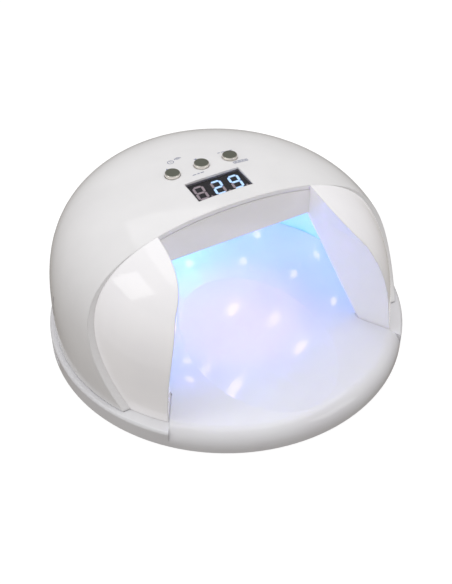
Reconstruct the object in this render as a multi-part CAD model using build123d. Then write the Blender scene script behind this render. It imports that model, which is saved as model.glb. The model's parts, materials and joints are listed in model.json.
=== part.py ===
from build123d import *
import math
import os
from dataclasses import dataclass

os.makedirs("parts", exist_ok=True)

# ---------------------------------------------------------------- driving dimensions, mm
# Frame: origin at the centre of the footprint on the table, front is -Y, +Z up.

# Base plate: a removable round tray with a raised hand rest in the opening
BASE_R = 104.0          # outer radius of the tray
FOOT_GAP = 0.8          # height of the skirt's lower edge above the table
LEDGE_Z = 11.0          # top of the rim that the housing stands over
REST_STEP = 1.4         # hand rest and chamber floor above the ledge
BASE_SKIN = 3.5         # thickness of the tray's skirt
DECK_Z = 7.0            # underside of the tray's deck
LEDGE_ROUND = 1.6       # rounding of the rim
REST_ROUND = 9.0        # rounding of the hand rest's front edge
DISH_DEPTH = 3.0        # hollow for the palm
DISH_HALF_X = 40.0
DISH_HALF_Y = 58.0
DISH_Y = -36.0
DISH_ROUND = 5.1        # upright half axis of the hollow over its depth
RIB = 1.8               # ribs under the deck
RIB_DEPTH = 4.0
GRIP_ANGLE = 12.0       # finger grips, from the +X and -X sides towards the back
GRIP_WIDE = 28.0
GRIP_HIGH = 5.0
GRIP_DEEP = 1.8

# Feet, magnets and the steel keepers they hold
FOOT_R = 7.0
FOOT_H = 2.6
FOOT_POCKET = 0.8
FOOT_CIRCLE = 84.0
FOOT_ANGLES = (45.0, 135.0, 225.0, 315.0)
FOOT_BOSS_R = 9.0
MAGNET_R = 4.0
MAGNET_H = 3.0
KEEPER_H = 1.2
MAGNET_CIRCLE = 92.5
MAGNET_ANGLES = (5.0, 62.0, 118.0, 175.0)

# Housing
SEAM = 0.3              # gap between the base plate and the housing that lifts off it
HOOD_WALL = 2.4
RIM_DEPTH = 7.0         # the arch's rim reaches this far inwards from the hood's surface
RIM_WIDE = 3.0
FRAME_WALL = 2.4
REFLECTOR_WALL = 1.6
FIT = 0.1               # gap between pieces that locate each other

# Arch: the hood's front edge in side view sweeps from the visor down to the rim
ARCH_TOP_Y = -10.5
ARCH_SWEEP = 36.7
ARCH_TOP_Z = 96.0
ARCH_POWER = 2.12

# Hand opening: a flared funnel that ends at the sloping mouth of the chamber
MOUTH_LOW_Y = -49.0
MOUTH_LOW_HALF = 62.0
MOUTH_TOP_Y = -11.0
MOUTH_TOP_HALF = 47.0
MOUTH_TOP_Z = 69.7
FLARE_LOW = 0.605       # widening of the side walls per mm towards the front
FLARE_TOP = 0.276
FLARE_VISOR = -0.175
PORTAL = 2.6            # thickness of the portal round the mouth
REST_GAP = 0.8          # gap between the side walls and the hand rest

# Controls on top
DISPLAY_X = 33.5
DISPLAY_Y = 16.9
DISPLAY_CENTRE_Y = 8.35
DISPLAY_CASE_X = 37.6
DISPLAY_CASE_Y = 19.0
DISPLAY_CASE_TOP = 90.3
DISPLAY_FACE_Z = 91.6
SEGMENT_H = 0.15
WINDOW_H = 1.2
DIGIT_PITCH = 10.9
DIGIT_H = 12.0
DIGIT_W = 6.2
DIGIT_LEAN = 0.12
STROKE = 1.1
BUTTON_PITCH = 18.1
BUTTON_Y = 28.3
BUTTON_R = 4.3
BUTTON_PROUD = 1.8
BUTTON_EDGE = 0.5
BUTTON_FLANGE_R = 5.2
BUTTON_FLANGE_H = 1.0
BUTTON_GAP = 0.15
BUTTON_TRAVEL = 0.6
STEM_R = 1.6
GUIDE_WALL = 1.6
SWITCH_SIDE = 6.0
SWITCH_H = 3.5
PLUNGER_R = 1.7
PLUNGER_PROUD = 1.0
PLUNGER_GAP = 0.05

# Control board
BOARD_X = 62.0
BOARD_Y = 45.0
BOARD_CENTRE_Y = 16.0
BOARD_Z = 80.0
BOARD_H = 1.6
POST_R = 3.0
POST_IN = 3.5           # posts and board screws from the board's edges
SCREW_R = 1.3
SCREW_GAP = 0.05

# Lamps: each one is a lens in a hole, on a round metal-core board
LENS_R = 2.5
LENS_PROUD = 1.0
LED_BOARD_R = 6.3
LED_BOARD_H = 1.2
LED_SEAT_R = 6.6
LED_SEAT_OUT = 3.2      # flat end of each seat, from the chamber's surface

# Power inlet at the back
JACK_Z = 24.0
JACK_PAD_Y = 100.6      # flat that the inlet's collar sits on
JACK_R = 4.0
JACK_COLLAR_R = 5.5
JACK_COLLAR_H = 1.3
JACK_BORE_R = 2.8
JACK_BORE_DEPTH = 9.0
JACK_PIN_R = 1.0
JACK_LENGTH = 11.0
JACK_PAD_R = 8.0
PANEL = 4.1             # wall and pad clamped by the nut
NUT_AF = 11.0
NUT_H = 2.0

# Vents low on both sides, towards the back
VENT_COUNT = 5
VENT_PITCH = 4.5
VENT_ANGLE = 21.0
VENT_WIDE = 2.4
VENT_LOW = 28.0
VENT_HIGH = 44.0

# Housing screws, up through the reflector's flange
FLANGE_H = 2.4
FLANGE_IN_R = 84.0
FLANGE_GAP = 0.5        # flange to the hood's wall, which leans back
FLANGE_FRONT_Y = -41.0
BOSS_CIRCLE = 92.4
BOSS_R = 3.1
BOSS_ROOF = 1.0         # boss over the end of its screw hole
BOSS_ANGLES = (-18.0, 33.0, 147.0, 198.0)
HEAD_R = 2.6
HEAD_H = 1.4
SCREW_LENGTH = 7.0
SCREW_ROOM = 1.1        # screw hole past the screw's tip

# Hand sensor in the chamber's ceiling
SENSOR_R = 3.0
SENSOR_Y = -1.0
SENSOR_X = 24.0

# Supply lead from the inlet to the board
LEAD_R = 1.2
LEAD_CLEAR = 8.0        # lead's line inside the inlet's flat
LEAD_BEND_Z = 62.0
LEAD_TOP = (0.0, 80.0, 77.0)
CONNECTOR = (9.0, 4.5, 4.4)

# ---------------------------------------------------------------- derived
HOUSING_Z = LEDGE_Z + SEAM
REST_Z = LEDGE_Z + REST_STEP
BOSS_TOP = HOUSING_Z + SCREW_LENGTH + SCREW_ROOM + BOSS_ROOF
BOARD_TOP = BOARD_Z + BOARD_H
BIG = 2.0 * BASE_R
BUTTON_XS = {"left": -BUTTON_PITCH, "centre": 0.0, "right": BUTTON_PITCH}


@dataclass(frozen=True)
class Dome:
    """Stack of circles whose radius falls as a superellipse while the centre leans back."""
    radius: float
    height: float
    plan: float         # exponent of the radius
    rise: float         # exponent of the height
    lean: float         # how far back the centre is at the top
    lean_power: float

    def radius_at(self, z, inset=0.0):
        share = min(1.0, z / (self.height - inset))
        return (self.radius - inset) * (1.0 - share ** self.rise) ** (1.0 / self.plan)

    def centre_at(self, z):
        return self.lean * (z / self.height) ** self.lean_power

    def height_at(self, x, y, inset=0.0):
        z = self.height
        for _ in range(8):
            off = math.hypot(x, y - self.centre_at(z)) / (self.radius - inset)
            z = (self.height - inset) * (1.0 - off ** self.plan) ** (1.0 / self.rise)
        return z

    def ring(self, z, inset, count=16):
        """Circular face at a height, its edge one closed smooth curve."""
        turns = [2.0 * math.pi * i / count for i in range(count)]
        r = self.radius_at(z, inset)
        y = self.centre_at(z)
        points = [Vector(r * math.cos(turn), y + r * math.sin(turn), z) for turn in turns]
        return Face(Wire([Edge.make_spline(points, periodic=True)]))

    def solid(self, inset, low, count=13, last=1.5):
        """Loft of the rings from the height low to a small flat at the top."""
        top = self.height - inset
        straight = 0.3 * top
        first = math.asin((straight / top) ** (self.rise / 2.0))
        heights = [low, (low + straight) / 2.0]
        for i in range(count + 1):
            turn = first + (last - first) * i / count
            heights.append(top * math.sin(turn) ** (2.0 / self.rise))
        return loft([self.ring(z, inset) for z in heights])

    def seat(self, azimuth, z):
        """Plane on the surface, its normal pointing out."""
        turn = math.radians(azimuth)
        r = self.radius_at(z)
        share = z / self.height
        side = self.plan / self.radius * (r / self.radius) ** (self.plan - 1.0)
        up = self.rise / self.height * share ** (self.rise - 1.0)
        lean = self.lean_power * self.lean / self.height * share ** (self.lean_power - 1.0)
        normal = (side * math.cos(turn), side * math.sin(turn), up - side * math.sin(turn) * lean)
        place = (r * math.cos(turn), self.centre_at(z) + r * math.sin(turn), z)
        return Plane(origin=place, z_dir=normal)

    def height_on_ring(self, ring):
        return self.height * (1.0 - (ring / self.radius) ** self.plan) ** (1.0 / self.rise)


HOOD = Dome(radius=100.8, height=94.42, plan=2.128, rise=4.331, lean=17.5, lean_power=2.0)
CHEEK = Dome(radius=98.1, height=94.9, plan=2.19, rise=4.11, lean=12.0, lean_power=0.8)
CHAMBER = Dome(radius=86.0, height=75.0, plan=2.0, rise=6.0, lean=8.0, lean_power=2.0)

# Lamp positions: ceiling rings by radius, wall rings by height; azimuths in degrees
CEILING_RINGS = ((22.0, 5, 0.0, 180.0), (46.0, 8, -8.0, 188.0))
WALL_RINGS = ((50.0, 8, 0.0, 180.0), (27.0, 8, -12.0, 192.0))


def spread(count, first, last):
    return [first + (last - first) * i / (count - 1) for i in range(count)]


def lamp_seats():
    seats = [CHAMBER.seat(90.0, CHAMBER.height * 0.99999)]
    for ring, count, first, last in CEILING_RINGS:
        z = CHAMBER.height_on_ring(ring)
        seats += [CHAMBER.seat(azimuth, z) for azimuth in spread(count, first, last)]
    for z, count, first, last in WALL_RINGS:
        seats += [CHAMBER.seat(azimuth, z) for azimuth in spread(count, first, last)]
    return seats


def group(solids):
    return Compound(children=list(solids))


def tube(radius, low, high, x=0.0, y=0.0):
    """Upright round bar between two heights."""
    return Pos(x, y, (low + high) / 2.0) * Cylinder(radius, high - low)


def bar_y(radius, low, high, z):
    """Round bar along Y between two places."""
    return Pos(0, (low + high) / 2.0, z) * Rot(90, 0, 0) * Cylinder(radius, high - low)


def bar_on(plane, radius, low, high):
    """Round bar along a plane's normal between two distances from it."""
    return plane.location * tube(radius, low, high)


def on_circle(radius, azimuth):
    turn = math.radians(azimuth)
    return radius * math.cos(turn), radius * math.sin(turn)


def along_x(points):
    """Slab across the whole width from an outline of (y, z) points."""
    face = make_face(Polyline(*points, close=True))
    return extrude(Plane.YZ * face, BIG, both=True)


def arch_y(z):
    share = (1.0 - z / ARCH_TOP_Z) / (1.0 - LEDGE_Z / ARCH_TOP_Z)
    return ARCH_TOP_Y - ARCH_SWEEP * share ** ARCH_POWER


def arch_band(near, far):
    """Space between two copies of the arch curve, shifted to the back by near and far."""
    heights = [LEDGE_Z - 4.0 + (ARCH_TOP_Z - LEDGE_Z + 4.0) * i / 8 for i in range(9)]
    edge = [(arch_y(z), z) for z in heights]
    front = Spline(*[(y + near, z) for y, z in edge])
    back = Spline(*[(y + far, z) for y, z in edge])
    face = make_face([front, back, Line(front @ 0, back @ 0), Line(front @ 1, back @ 1)])
    return extrude(Plane.YZ * face, BIG, both=True)


def mouth_share(z):
    return (z - LEDGE_Z) / (MOUTH_TOP_Z - LEDGE_Z)


def mouth_y(z):
    return MOUTH_LOW_Y + (MOUTH_TOP_Y - MOUTH_LOW_Y) * mouth_share(z)


def mouth_half(z):
    return MOUTH_LOW_HALF + (MOUTH_TOP_HALF - MOUTH_LOW_HALF) * mouth_share(z)


def funnel_section(z, y, half, flare, back):
    far = half + flare * (y + BIG)
    behind = [(half, y + back), (-half, y + back)] if back else []
    outline = [(-far, -BIG), (far, -BIG), (half, y)] + behind + [(-half, y)]
    return Pos(0, 0, z) * make_face(Polyline(*outline, close=True))


def funnel(grow, back_low, back_top):
    """Space of the hand opening, with its side walls moved out by grow."""
    low_z = LEDGE_Z - 2.0
    slope = (FLARE_TOP - FLARE_LOW) / (MOUTH_TOP_Z - LEDGE_Z)
    low_flare = FLARE_LOW + slope * (low_z - LEDGE_Z)
    low = funnel_section(low_z, mouth_y(low_z), mouth_half(low_z) + grow, low_flare, back_low)
    mid = funnel_section(MOUTH_TOP_Z, MOUTH_TOP_Y, MOUTH_TOP_HALF + grow, FLARE_TOP, back_low)
    mid_up = funnel_section(MOUTH_TOP_Z, MOUTH_TOP_Y, MOUTH_TOP_HALF + grow, FLARE_TOP, back_top)
    top = funnel_section(100.0, MOUTH_TOP_Y, MOUTH_TOP_HALF + grow, FLARE_VISOR, back_top)
    return loft([low, mid], ruled=True) + loft([mid_up, top], ruled=True)


def portal_slab(near, far):
    """Slab along the chamber's sloping mouth and up behind the lintel."""
    low_z = LEDGE_Z - 4.0
    return along_x([(mouth_y(low_z) + near, low_z), (MOUTH_TOP_Y + near, MOUTH_TOP_Z),
                    (MOUTH_TOP_Y + near, BIG), (MOUTH_TOP_Y + far, BIG),
                    (MOUTH_TOP_Y + far, MOUTH_TOP_Z), (mouth_y(low_z) + far, low_z)])


# ---------------------------------------------------------------- base plate
def floor_front():
    """Where the raised chamber floor starts, clear of the portal round the mouth."""
    return mouth_y(REST_Z) + PORTAL + REST_GAP


def rest_outline():
    """Plan of the hand rest between the side walls, out to the front."""
    half = MOUTH_LOW_HALF - REST_GAP
    far = half + FLARE_LOW * (MOUTH_LOW_Y + BIG)
    inner = floor_front() + 4.0
    return make_face(Polyline((-far, -BIG), (far, -BIG), (half, MOUTH_LOW_Y), (half, inner),
                              (-half, inner), (-half, MOUTH_LOW_Y), close=True))


def base_plate():
    body = tube(BASE_R, FOOT_GAP, LEDGE_Z)
    body = fillet(body.edges().group_by(Axis.Z)[-1], LEDGE_ROUND)
    rest = tube(BASE_R, FOOT_GAP, REST_Z)
    rest = fillet(rest.edges().group_by(Axis.Z)[-1], REST_ROUND)
    prism = extrude(rest_outline(), BIG)
    behind = Pos(0, floor_front() + BIG / 2.0, 0) * Box(BIG, BIG, BIG)
    floor = tube(CHAMBER.radius - REST_GAP, DECK_Z, REST_Z) & behind
    body = (body - prism) + (rest & prism) + floor
    tall = DISH_DEPTH * DISH_ROUND
    share = (1.0 - (1.0 - 1.0 / DISH_ROUND) ** 2) ** 0.5
    lens = scale(Sphere(1.0), by=(DISH_HALF_X / share, DISH_HALF_Y / share, tall))
    body -= Pos(0, DISH_Y, REST_Z + tall - DISH_DEPTH) * lens
    body -= tube(BASE_R - BASE_SKIN, 0.0, DECK_Z)
    inside = tube(BASE_R - BASE_SKIN + 1.0, DECK_Z - RIB_DEPTH, DECK_Z + 1.0)
    ribs = [Rot(0, 0, turn) * Pos(0, 0, DECK_Z - RIB_DEPTH / 2.0) * Box(BIG, RIB, RIB_DEPTH)
            for turn in (0.0, 45.0, 90.0, 135.0)]
    rings = [tube(r, DECK_Z - RIB_DEPTH, DECK_Z) - tube(r - RIB, 0.0, DECK_Z) for r in (30.0, 62.0)]
    body += [rib & inside for rib in ribs + rings]
    feet = [on_circle(FOOT_CIRCLE, turn) for turn in FOOT_ANGLES]
    magnets = [on_circle(MAGNET_CIRCLE, turn) for turn in MAGNET_ANGLES]
    body += [tube(FOOT_BOSS_R, FOOT_H - FOOT_POCKET, DECK_Z, x, y) for x, y in feet]
    cuts = [tube(FOOT_R, 0.0, FOOT_H, x, y) for x, y in feet]
    cuts += [tube(MAGNET_R, LEDGE_Z - MAGNET_H, BIG, x, y) for x, y in magnets]
    grip = Box(2.0 * GRIP_DEEP, GRIP_WIDE, GRIP_HIGH)
    grip = fillet(grip.edges().filter_by(Axis.X), GRIP_HIGH * 0.45)
    middle = (FOOT_GAP + LEDGE_Z) / 2.0
    for turn in (GRIP_ANGLE, 180.0 - GRIP_ANGLE):
        cuts.append(Rot(0, 0, turn) * Pos(BASE_R, 0, middle) * grip)
    return body - cuts


def base_feet():
    return group(tube(FOOT_R, 0.0, FOOT_H, *on_circle(FOOT_CIRCLE, turn)) for turn in FOOT_ANGLES)


def base_magnets():
    return group(tube(MAGNET_R, LEDGE_Z - MAGNET_H, LEDGE_Z, *on_circle(MAGNET_CIRCLE, turn))
                 for turn in MAGNET_ANGLES)


# ---------------------------------------------------------------- hood
def jack_pad():
    return bar_y(JACK_PAD_R + 1.0, JACK_PAD_Y - PANEL, JACK_PAD_Y + 0.5, JACK_Z)


def board_corners():
    x = BOARD_X / 2.0 - POST_IN
    y = BOARD_Y / 2.0 - POST_IN
    return [(sx * x, BOARD_CENTRE_Y + sy * y) for sx in (-1, 1) for sy in (-1, 1)]


def hood_vents():
    vents = []
    for side in (VENT_ANGLE, 180.0 - VENT_ANGLE):
        for i in range(VENT_COUNT):
            turn = side + VENT_PITCH * (i - (VENT_COUNT - 1) / 2.0)
            slot = Box(24.0, VENT_WIDE, VENT_HIGH - VENT_LOW)
            slot = fillet(slot.edges().filter_by(Axis.X), VENT_WIDE * 0.45)
            middle = (VENT_LOW + VENT_HIGH) / 2.0
            vents.append(Rot(0, 0, turn) * Pos(HOOD.radius, 0, middle) * slot)
    return vents


def hood_bosses():
    """Screw bosses inside the lower edge, each with a web to the wall."""
    bosses = []
    low = HOUSING_Z + FLANGE_H
    for turn in BOSS_ANGLES:
        x, y = on_circle(BOSS_CIRCLE, turn)
        web = Pos((BOSS_CIRCLE + HOOD.radius) / 2.0, 0, (low + BOSS_TOP) / 2.0)
        web = web * Box(HOOD.radius - BOSS_CIRCLE, 2.0, BOSS_TOP - low)
        bosses.append(tube(BOSS_R, low, BOSS_TOP, x, y) + Rot(0, 0, turn) * web)
    return bosses


def hood_shell():
    outer = HOOD.solid(0.0, HOUSING_Z)
    core = HOOD.solid(HOOD_WALL / 2.0, HOUSING_Z)
    body = (outer - HOOD.solid(HOOD_WALL, HOUSING_Z - 1.0)) & arch_band(0.0, BIG)
    rim = (outer - HOOD.solid(RIM_DEPTH, HOUSING_Z - 1.0)) & arch_band(0.0, RIM_WIDE)
    inner_half = MOUTH_TOP_HALF + FRAME_WALL + 2.0 * FIT
    body += rim - Box(2.0 * inner_half, BIG, 2.0 * BIG)
    posts = [tube(POST_R, BOARD_TOP, BIG, x, y) for x, y in board_corners()]
    for x in BUTTON_XS.values():
        guide = tube(BUTTON_FLANGE_R + BUTTON_GAP + GUIDE_WALL, BOARD_TOP + SWITCH_H + 3.0, BIG, x, BUTTON_Y)
        posts.append(guide)
    body += [piece & core for piece in posts + hood_bosses()] + [jack_pad()]
    cuts = hood_vents()
    for x in BUTTON_XS.values():
        flange_top = button_flange_top(x) + FIT
        cuts.append(tube(BUTTON_FLANGE_R + BUTTON_GAP, BOARD_TOP, flange_top, x, BUTTON_Y))
        cuts.append(tube(BUTTON_R + BUTTON_GAP, flange_top, BIG, x, BUTTON_Y))
    cuts.append(Pos(0, DISPLAY_CENTRE_Y, BOARD_TOP + BIG / 2.0) * Box(DISPLAY_X, DISPLAY_Y, BIG))
    cuts.append(bar_y(JACK_PAD_R, JACK_PAD_Y, BIG, JACK_Z))
    cuts.append(bar_y(JACK_R + FIT, JACK_PAD_Y - PANEL - 1.0, JACK_PAD_Y, JACK_Z))
    cuts += [tube(SCREW_R + SCREW_GAP, BOARD_TOP - 1.0, BOARD_TOP + 5.5, x, y) for x, y in board_corners()]
    bosses = [on_circle(BOSS_CIRCLE, turn) for turn in BOSS_ANGLES]
    cuts += [tube(SCREW_R + SCREW_GAP, HOUSING_Z, BOSS_TOP - BOSS_ROOF, x, y) for x, y in bosses]
    return body - cuts


# ---------------------------------------------------------------- front frame
def front_frame():
    cheek = CHEEK.solid(0.0, HOUSING_Z)
    body = (cheek - CHEEK.solid(FRAME_WALL, HOUSING_Z - 1.0)) & arch_band(-BIG, 0.0)
    body += funnel(FRAME_WALL, 0.0, 0.0) & cheek & arch_band(-BIG, RIM_WIDE + 6.0)
    slab = portal_slab(0.0, PORTAL)
    above = Pos(0, 0, HOUSING_Z + BIG / 2.0) * Box(BIG, BIG, BIG)
    body += slab & CHAMBER.solid(-REFLECTOR_WALL, HOUSING_Z) & above
    lintel = Pos(0, 0, MOUTH_TOP_Z + BIG / 2.0) * Box(2.0 * (MOUTH_TOP_HALF + FRAME_WALL), BIG, BIG)
    body += slab & lintel & HOOD.solid(HOOD_WALL + FIT, HOUSING_Z)
    return body - funnel(0.0, 20.0, 0.0)


# ---------------------------------------------------------------- chamber
def flange_plan(low, high):
    ring = tube(HOOD.radius - HOOD_WALL - FLANGE_GAP, low, high) - tube(FLANGE_IN_R, low - 1.0, high + 1.0)
    behind = Pos(0, FLANGE_FRONT_Y + BIG / 2.0, 0) * Box(BIG, BIG, BIG)
    return ring & behind


def sensor_place():
    z = CHAMBER.height_at(SENSOR_X, SENSOR_Y)
    return SENSOR_X, SENSOR_Y, z


def reflector():
    body = CHAMBER.solid(-REFLECTOR_WALL, HOUSING_Z) - CHAMBER.solid(0.0, HOUSING_Z - 1.0)
    body += flange_plan(HOUSING_Z, HOUSING_Z + FLANGE_H) - CHAMBER.solid(0.0, HOUSING_Z - 1.0)
    body = body & portal_slab(PORTAL, BIG)
    body += [bar_on(seat, LED_SEAT_R, 0.8, LED_SEAT_OUT) for seat in lamp_seats()]
    cuts = [bar_on(seat, LENS_R + FIT, -3.0, LED_SEAT_OUT + 1.0) for seat in lamp_seats()]
    x, y, z = sensor_place()
    cuts.append(tube(SENSOR_R + FIT, z - 8.0, z + 8.0, x, y))
    for x, y in [on_circle(BOSS_CIRCLE, turn) for turn in BOSS_ANGLES]:
        cuts.append(tube(SCREW_R + FIT, 0.0, BOSS_TOP, x, y))
        cuts.append(tube(HEAD_R + FIT, 0.0, HOUSING_Z + HEAD_H, x, y))
    for x, y in [on_circle(MAGNET_CIRCLE, turn) for turn in MAGNET_ANGLES]:
        cuts.append(tube(MAGNET_R, 0.0, HOUSING_Z + KEEPER_H, x, y))
    return body - cuts


def keeper_discs():
    return group(tube(MAGNET_R, HOUSING_Z, HOUSING_Z + KEEPER_H, *on_circle(MAGNET_CIRCLE, turn))
                 for turn in MAGNET_ANGLES)


def led_lenses():
    lenses = []
    for seat in lamp_seats():
        dome = seat.location * (Pos(0, 0, -LENS_PROUD + LENS_R * 0.5) * Sphere(LENS_R))
        upper = bar_on(seat, LENS_R, -LENS_PROUD + LENS_R * 0.5, LED_SEAT_OUT)
        lower = dome & bar_on(seat, LENS_R, -BIG / 10.0, -LENS_PROUD + LENS_R * 0.5)
        lenses.append((upper + lower).solid())
    return group(lenses)


def led_boards():
    return group(bar_on(seat, LED_BOARD_R, LED_SEAT_OUT, LED_SEAT_OUT + LED_BOARD_H)
                 for seat in lamp_seats())


def hand_sensor():
    x, y, z = sensor_place()
    return tube(SENSOR_R, z - 0.8, z + 3.4, x, y)


def screw(low, length, x, y):
    """Pan-head screw with a cross slot, driven upwards from the height low."""
    head = tube(HEAD_R, low, low + HEAD_H, x, y)
    shank = tube(SCREW_R, low + HEAD_H, low + length, x, y)
    slots = [Pos(x, y, low) * Rot(0, 0, turn) * Box(3.2, 0.7, 1.2) for turn in (0.0, 90.0)]
    return (head + shank - slots[0] - slots[1]).solid()


def housing_screws():
    return group(screw(HOUSING_Z, SCREW_LENGTH, *on_circle(BOSS_CIRCLE, turn)) for turn in BOSS_ANGLES)


# ---------------------------------------------------------------- controls
def button_surface(x):
    return HOOD.height_at(x, BUTTON_Y)


def button_flange_top(x):
    reach = abs(x) + BUTTON_FLANGE_R + BUTTON_GAP
    return HOOD.height_at(reach, BUTTON_Y + BUTTON_FLANGE_R, HOOD_WALL) - FIT


def plunger_top():
    return BOARD_TOP + SWITCH_H + PLUNGER_PROUD


def button(x):
    top = button_surface(x) + BUTTON_PROUD
    flange = button_flange_top(x)
    cap = tube(BUTTON_R, flange - BUTTON_FLANGE_H, top, x, BUTTON_Y)
    cap = fillet(cap.edges().group_by(Axis.Z)[-1], BUTTON_EDGE)
    cap += tube(BUTTON_FLANGE_R, flange - BUTTON_FLANGE_H, flange, x, BUTTON_Y)
    return cap + tube(STEM_R, plunger_top(), flange, x, BUTTON_Y)


def plunger(x):
    return tube(PLUNGER_R, BOARD_TOP + SWITCH_H - 1.0, plunger_top(), x, BUTTON_Y)


def tact_switches():
    switches = []
    for x in BUTTON_XS.values():
        body = Pos(x, BUTTON_Y, BOARD_TOP + SWITCH_H / 2.0) * Box(SWITCH_SIDE, SWITCH_SIDE, SWITCH_H)
        well = tube(PLUNGER_R + PLUNGER_GAP, BOARD_TOP + 1.0, BIG, x, BUTTON_Y)
        switches.append((body - well).solid())
    return group(switches)


def control_board():
    body = Pos(0, BOARD_CENTRE_Y, BOARD_Z + BOARD_H / 2.0) * Box(BOARD_X, BOARD_Y, BOARD_H)
    for x, y in board_corners():
        body -= tube(SCREW_R + FIT, BOARD_Z - 1.0, BOARD_TOP + 1.0, x, y)
    return body


def board_screws():
    return group(screw(BOARD_Z - HEAD_H, SCREW_LENGTH, x, y) for x, y in board_corners())


def connector_y():
    return BOARD_CENTRE_Y + BOARD_Y / 2.0 - CONNECTOR[1] / 2.0


def board_parts():
    """Connector, driver chip, inductor and capacitors on the board."""
    chip = Pos(-24.0, 24.0, BOARD_TOP + 0.8) * Box(5.0, 6.0, 1.6)
    coil = tube(3.4, BOARD_TOP, BOARD_TOP + 3.2, 25.0, 14.0)
    caps = [tube(1.8, BOARD_TOP, BOARD_TOP + 4.4, x, 8.0) for x in (-25.0, 25.0)]
    socket = Pos(0, connector_y(), BOARD_TOP + CONNECTOR[2] / 2.0) * Box(*CONNECTOR)
    return group([chip, coil, socket] + caps)


def display_case():
    case_h = DISPLAY_CASE_TOP - BOARD_TOP
    case = Pos(0, DISPLAY_CENTRE_Y, BOARD_TOP + case_h / 2.0) * Box(DISPLAY_CASE_X, DISPLAY_CASE_Y, case_h)
    face_h = DISPLAY_FACE_Z - DISPLAY_CASE_TOP
    face = Box(DISPLAY_X - 2.0 * FIT, DISPLAY_Y - 2.0 * FIT, face_h)
    return case + Pos(0, DISPLAY_CENTRE_Y, DISPLAY_CASE_TOP + face_h / 2.0) * face


def display_segments():
    """Seven bars and a point for each of three leaning digits."""
    pieces = []
    half = DIGIT_H / 2.0
    across = Box(DIGIT_W - 1.6 * STROKE, STROKE, SEGMENT_H)
    upright = Box(STROKE, half - 1.6 * STROKE, SEGMENT_H)
    for digit in (-1, 0, 1):
        middle = digit * DIGIT_PITCH
        for level in (-1, 0, 1):
            y = level * (half - STROKE / 2.0)
            pieces.append(Pos(middle + y * DIGIT_LEAN, y, 0) * across)
        for level in (-1, 1):
            for side in (-1, 1):
                y = level * half / 2.0
                x = middle + y * DIGIT_LEAN + side * (DIGIT_W - STROKE) / 2.0
                pieces.append(Pos(x, y, 0) * upright)
        point_x = middle + DIGIT_W / 2.0 + STROKE
        pieces.append(Pos(point_x, STROKE / 2.0 - half, 0) * Cylinder(STROKE * 0.55, SEGMENT_H))
    place = Pos(0, DISPLAY_CENTRE_Y, DISPLAY_FACE_Z + SEGMENT_H / 2.0)
    return group(place * piece for piece in pieces)


def display_window():
    low = DISPLAY_FACE_Z + SEGMENT_H + FIT
    plate = Box(DISPLAY_X - 2.0 * FIT, DISPLAY_Y - 2.0 * FIT, WINDOW_H)
    return Pos(0, DISPLAY_CENTRE_Y, low + WINDOW_H / 2.0) * plate


# ---------------------------------------------------------------- power inlet
def power_inlet():
    body = bar_y(JACK_R, JACK_PAD_Y - JACK_LENGTH, JACK_PAD_Y, JACK_Z)
    body += bar_y(JACK_COLLAR_R, JACK_PAD_Y, JACK_PAD_Y + JACK_COLLAR_H, JACK_Z)
    mouth = JACK_PAD_Y + JACK_COLLAR_H
    body -= bar_y(JACK_BORE_R, mouth - JACK_BORE_DEPTH, mouth + 1.0, JACK_Z)
    return body


def inlet_pin():
    mouth = JACK_PAD_Y + JACK_COLLAR_H
    return bar_y(JACK_PIN_R, mouth - JACK_BORE_DEPTH, mouth - 1.0, JACK_Z)


def inlet_nut():
    low = JACK_PAD_Y - PANEL - NUT_H
    hexagon = extrude(RegularPolygon(NUT_AF / 2.0, 6, major_radius=False), NUT_H)
    nut = Pos(0, low + NUT_H, JACK_Z) * Rot(90, 0, 0) * hexagon
    return nut - bar_y(JACK_R + FIT / 2.0, low - 1.0, low + NUT_H + 1.0, JACK_Z)


def bend_radius(before, corner, after):
    """Largest arc that two runs leave room for."""
    first = Vector(*corner) - Vector(*before)
    second = Vector(*after) - Vector(*corner)
    half_turn = math.radians(first.get_angle(second)) / 2.0
    return 0.45 * min(first.length, second.length) / math.tan(half_turn)


def supply_lead():
    y = JACK_PAD_Y - LEAD_CLEAR
    end_z = BOARD_TOP + CONNECTOR[2] / 2.0
    end_y = BOARD_CENTRE_Y + BOARD_Y / 2.0
    points = [(0.0, y, JACK_Z + JACK_R - 0.4), (0.0, y, LEAD_BEND_Z), LEAD_TOP, (0.0, end_y - 0.6, end_z)]
    radii = [bend_radius(*points[i:i + 3]) for i in range(2)]
    print("lead bend radii", [round(radius, 1) for radius in radii])
    path = FilletPolyline(*points, radius=radii)
    start = Plane(origin=points[0], z_dir=(0, 0, 1))
    return sweep(start * Circle(LEAD_R), path=path)


def main():
    nodes = {
        "base_plate": base_plate(), "base_feet": base_feet(), "base_magnets": base_magnets(),
        "hood_shell": hood_shell(), "front_frame": front_frame(), "reflector": reflector(),
        "keeper_discs": keeper_discs(), "housing_screws": housing_screws(),
        "led_lenses": led_lenses(), "led_boards": led_boards(), "hand_sensor": hand_sensor(),
        "control_board": control_board(), "board_screws": board_screws(), "board_parts": board_parts(),
        "display_case": display_case(), "display_segments": display_segments(),
        "display_window": display_window(), "tact_switches": tact_switches(),
        "power_inlet": power_inlet(), "inlet_pin": inlet_pin(), "inlet_nut": inlet_nut(),
        "supply_lead": supply_lead(),
    }
    for side, x in BUTTON_XS.items():
        nodes[f"button_{side}"] = button(x)
        nodes[f"plunger_{side}"] = plunger(x)
    for name, shape in nodes.items():
        solids = shape.solids()
        export_step(solids[0] if len(solids) == 1 else Compound(children=list(solids)), f"parts/{name}.step")
        print(name, len(solids), round(sum(solid.volume for solid in solids), 1))


main()
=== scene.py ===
"""A round UV curing lamp with a flared hand opening, a three-digit timer and a lift-off base."""
import json
import logging
import math
from dataclasses import dataclass, field
from enum import Enum

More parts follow.
